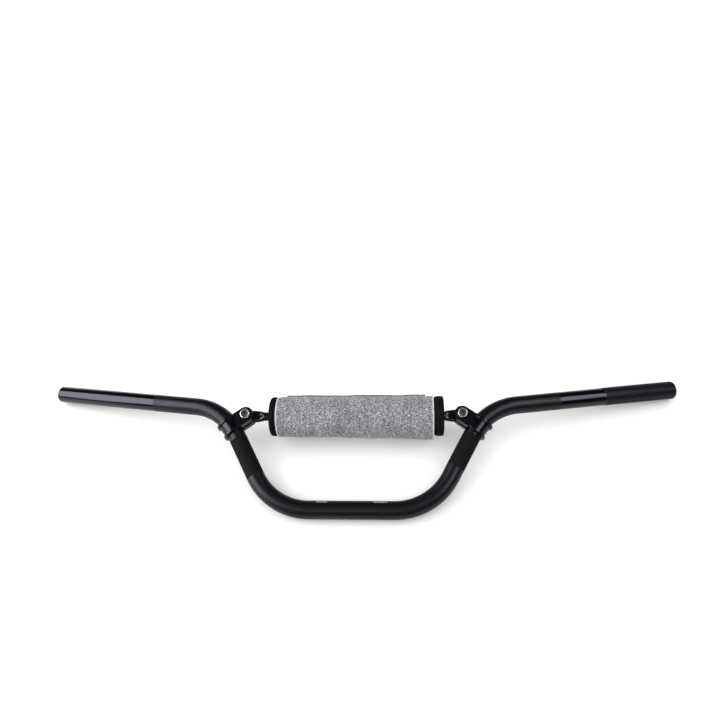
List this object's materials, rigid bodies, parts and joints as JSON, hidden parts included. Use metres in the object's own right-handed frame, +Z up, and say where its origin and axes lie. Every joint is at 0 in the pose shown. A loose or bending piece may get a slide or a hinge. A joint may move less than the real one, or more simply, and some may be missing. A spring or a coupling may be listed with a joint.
{
  "type": "motorcycle handlebar",
  "caption": "Bent tube handlebar with a raised, swept-back form, a clamped crossbar between its legs and a wrapped foam pad on the crossbar.",
  "frame": {"origin": "middle of the tube's straight centre section, on its axis", "axes": "+X along the bar towards the knurled tip, +Y across it towards the crossbar and the tips, +Z up from the bench that the centre section and both tips lie on; left and right are the picture's"},
  "size_m": [0.826, 0.1873, 0.0626],
  "materials": {
    "bar_black": "satin black anodised",
    "crossbar_black": "satin black anodised",
    "clamp_black": "cast, black coated",
    "fastener_zinc": "zinc plated",
    "foam_black": "closed-cell foam",
    "felt_grey": "heather felt",
    "loop_black": "loop pile",
    "hook_black": "moulded hooks"
  },
  "bodies": {
    "root": {"handlebar_tube": "bar_black", "crossbar": "crossbar_black", "left_clamp": "clamp_black", "right_clamp": "clamp_black", "left_bolt": "fastener_zinc", "right_bolt": "fastener_zinc", "left_nut": "fastener_zinc", "right_nut": "fastener_zinc", "pad_foam": "foam_black", "pad_cover": "felt_grey", "cover_loop_strip": "loop_black", "cover_hook_strip": "hook_black"}
  },
  "joints": []
}
